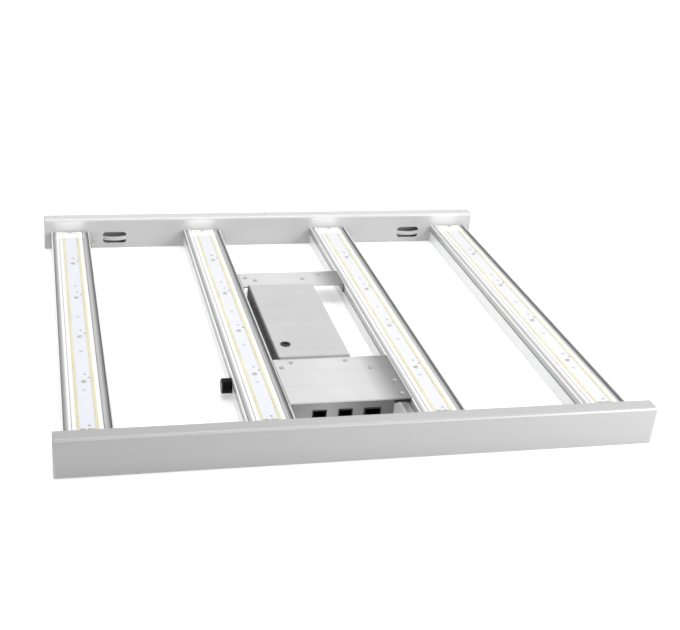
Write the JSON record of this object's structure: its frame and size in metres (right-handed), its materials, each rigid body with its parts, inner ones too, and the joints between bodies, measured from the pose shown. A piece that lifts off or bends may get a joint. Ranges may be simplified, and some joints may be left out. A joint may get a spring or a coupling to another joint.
{
  "type": "led grow light",
  "caption": "Flat multi-bar LED grow light: lamp bars between two hollow end rails, with a driver case, control box, jack sockets and a dimmer knob.",
  "frame": {"origin": "centre of the footprint, on the surface that the two rails rest on", "axes": "+X along the end rails, +Y along the lamp bars from the socket side to the far rail, +Z out of the lamp side"},
  "size_m": [0.58, 0.54, 0.041],
  "materials": {
    "rail": "satin silver paint",
    "cap": "grey moulded plastic",
    "rivet": "plain steel",
    "bar": "satin anodised",
    "board": "white solder mask",
    "led": "yellow phosphor",
    "red_led": "clear over red die",
    "screw": "plain steel",
    "solder": "tinned",
    "clip": "satin",
    "plate": "brushed",
    "driver": "satin",
    "black": "moulded",
    "pcb": "green solder mask",
    "core": "sealed winding",
    "standoff": "plain steel",
    "box": "satin",
    "steel": "plain steel",
    "pot": "plain steel",
    "lead": "black jacket"
  },
  "bodies": {
    "frame": {"rail_front": "rail", "rail_back": "rail", "end_caps_front": "cap", "end_caps_back": "cap", "rail_rivets_front": "rivet", "rail_rivets_back": "rivet", "bar_1": "bar", "bar_2": "bar", "bar_3": "bar", "bar_4": "bar", "board_1": "board", "board_2": "board", "board_3": "board", "board_4": "board", "leds_1": "led", "leds_2": "led", "leds_3": "led", "leds_4": "led", "red_leds": "red_led", "board_screws": "screw", "bar_clip_screws": "screw", "far_plate_screws": "screw", "near_plate_screws": "screw", "driver_base_screws": "screw", "solder_pads": "solder", "socket_contacts": "solder", "bar_clips": "clip", "dimmer_saddle": "clip", "far_plate": "plate", "near_plate": "plate", "driver_case": "driver", "driver_base": "driver", "driver_end_covers": "driver", "driver_plug": "black", "dim_socket_in": "black", "dim_socket_out": "black", "power_inlet": "black", "link_glands": "black", "driver_pcb": "pcb", "control_pcb": "pcb", "driver_transformer": "core", "driver_capacitors": "core", "driver_standoffs": "standoff", "control_standoffs": "standoff", "control_box": "box", "dimmer_nut": "steel", "dimmer_pot": "pot", "link_lead": "lead"},
    "knob": {"dimmer_knob": "black", "dimmer_shaft": "steel"}
  },
  "joints": [
    {"name": "dimmer_turn", "type": "hinge", "parent": "frame", "child": "knob", "pos_m": [-0.1194, -0.138, 0.0109], "axis": [-1, 0, 0], "range_deg": [0, 300]}
  ]
}
